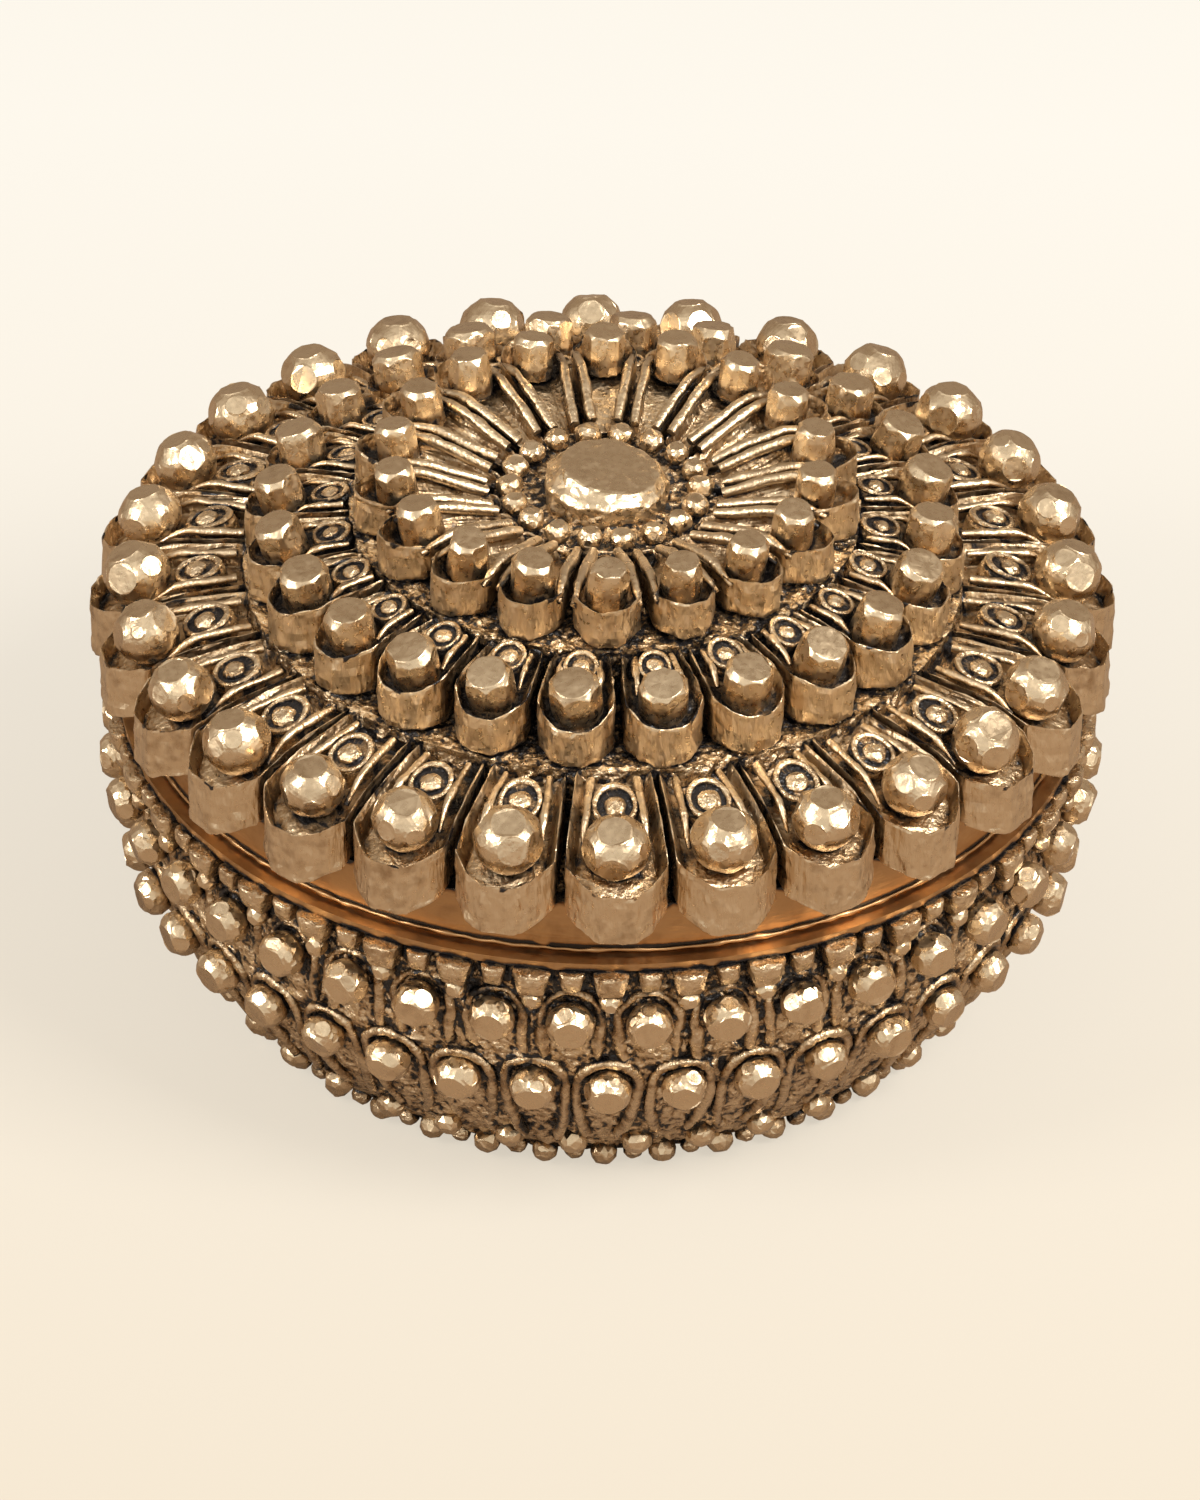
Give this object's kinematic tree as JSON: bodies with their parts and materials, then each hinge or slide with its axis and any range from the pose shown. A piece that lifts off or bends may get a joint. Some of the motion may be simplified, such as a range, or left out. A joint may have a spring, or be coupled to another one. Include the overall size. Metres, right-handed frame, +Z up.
{
  "type": "kumkum box",
  "caption": "round brass powder box: a bowl with a lift-off domed lid, both set with petals, studs and beads",
  "frame": {"origin": "centre of the flat foot, on the surface that the box stands on", "axes": "+Z up along the axis of the bowl and the lid, -Y towards the picture's camera, +X to its right"},
  "size_m": [0.1016, 0.1016, 0.0615],
  "materials": {
    "cast_brass": "cast, aged",
    "polished_brass": "hammered and rubbed bright",
    "turned_brass": "turned, satin",
    "trim_brass": "filed, aged",
    "patina_brass": "cast, dark patina"
  },
  "bodies": {
    "bowl": {"bowl_shell": "patina_brass", "bowl_rim_ring": "turned_brass", "rim_teeth_big": "trim_brass", "rim_teeth_small": "trim_brass", "upper_beads": "polished_brass", "upper_studs": "polished_brass", "upper_arches": "trim_brass", "lower_studs": "polished_brass", "lower_arches": "trim_brass", "foot_beads": "polished_brass", "base_beads": "polished_brass", "foot_blocks": "trim_brass"},
    "lid": {"lid_skirt_ring": "turned_brass", "lid_dome": "patina_brass", "outer_petals": "cast_brass", "outer_studs": "polished_brass", "outer_eyelets": "trim_brass", "outer_pips": "trim_brass", "middle_petals": "cast_brass", "middle_studs": "polished_brass", "middle_eyelets": "trim_brass", "middle_pips": "trim_brass", "inner_petals": "cast_brass", "inner_studs": "polished_brass", "collar_beads": "polished_brass", "centre_boss": "polished_brass"}
  },
  "joints": [
    {"name": "lid_lift", "type": "slide", "parent": "bowl", "child": "lid", "axis": [0, 0, 1], "range_m": [0, 0.08]}
  ]
}
